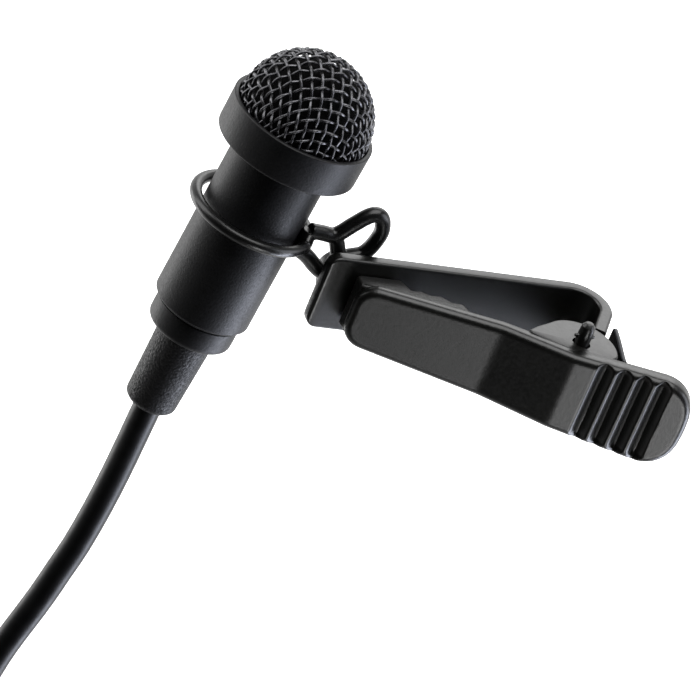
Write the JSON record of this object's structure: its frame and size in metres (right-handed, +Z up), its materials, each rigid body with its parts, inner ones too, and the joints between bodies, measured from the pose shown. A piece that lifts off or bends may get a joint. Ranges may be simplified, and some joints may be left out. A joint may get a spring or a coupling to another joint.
{
  "type": "lavalier microphone",
  "caption": "Small clip-on microphone: woven wire dome and slim barrel in a swivelling ring holder on a spring clip, with a coiled thin cable and a screw-locking jack plug.",
  "frame": {"origin": "the point on the rear jaw's inner face where the jaws grip cloth, on the holder's swivel axis", "axes": "+Z up along the microphone's axis, +X along the clip from its jaw to its thumb grip, +Y from the lever to the rear jaw and the microphone"},
  "size_m": [0.0481, 0.0278, 0.1127],
  "materials": {
    "grille_wire": "blackened, satin",
    "acoustic_cloth": "matt woven",
    "painted_metal": "fine matt black",
    "capsule_can": "satin",
    "rubber": "fine pebbled, matt",
    "circuit_board": "glass fibre board",
    "lead_insulation": "smooth",
    "bare_copper": "bare wire",
    "gold_plate": "plated, bright",
    "cable_jacket": "smooth satin jacket",
    "hook_and_loop_tape": "napped tape",
    "jack_insulator": "smooth",
    "black_plastic": "satin moulded",
    "grey_plastic": "satin moulded",
    "spring_steel": "blackened"
  },
  "bodies": {
    "clip": {"rear_jaw": "black_plastic", "hinge_pin": "black_plastic", "swivel_cap": "black_plastic"},
    "lever": {"front_lever": "black_plastic", "toothed_insert": "grey_plastic", "leaf_spring": "spring_steel"},
    "holder": {"holder_frame": "black_plastic"},
    "microphone": {"wire_grille": "grille_wire", "cloth_liner": "acoustic_cloth", "grille_bezel": "painted_metal", "barrel": "painted_metal", "microphone_capsule": "capsule_can", "capsule_boot": "rubber", "contact_board": "circuit_board", "signal_lead": "lead_insulation", "ground_lead": "bare_copper", "end_collar": "painted_metal", "crimp_ferrule": "gold_plate", "strain_relief": "rubber", "cable": "cable_jacket", "cable_coil": "cable_jacket", "cable_tail": "cable_jacket", "cable_tie": "hook_and_loop_tape", "plug_boot": "rubber", "plug_housing": "painted_metal", "jack_sleeve": "gold_plate", "upper_insulator": "jack_insulator", "jack_ring": "gold_plate", "lower_insulator": "jack_insulator", "jack_tip": "gold_plate"},
    "locking_collar": {"locking_ring": "painted_metal"}
  },
  "joints": [
    {"name": "lever_hinge", "type": "hinge", "parent": "clip", "child": "lever", "pos_m": [0.0149, -0.0072, 0.00175], "axis": [-0.1167, 0, 0.9932], "range_deg": [0, 18], "stiffness_Nm_per_rad": 0.02, "springref_deg": -17.19, "deforming": ["leaf_spring"]},
    {"name": "holder_swivel", "type": "hinge", "parent": "clip", "child": "holder", "pos_m": [0, 0, 0], "axis": [0, -1, 0], "range_deg": [-80, 90]},
    {"name": "mic_slide", "type": "slide", "parent": "holder", "child": "microphone", "axis": [0, 0, 1], "range_m": [-0.0033, 0.007]},
    {"name": "locking_ring_spin", "type": "hinge", "parent": "microphone", "child": "locking_collar", "pos_m": [-0.0051, -0.0023, -0.08215], "axis": [0, 0, 1], "continuous": true}
  ]
}
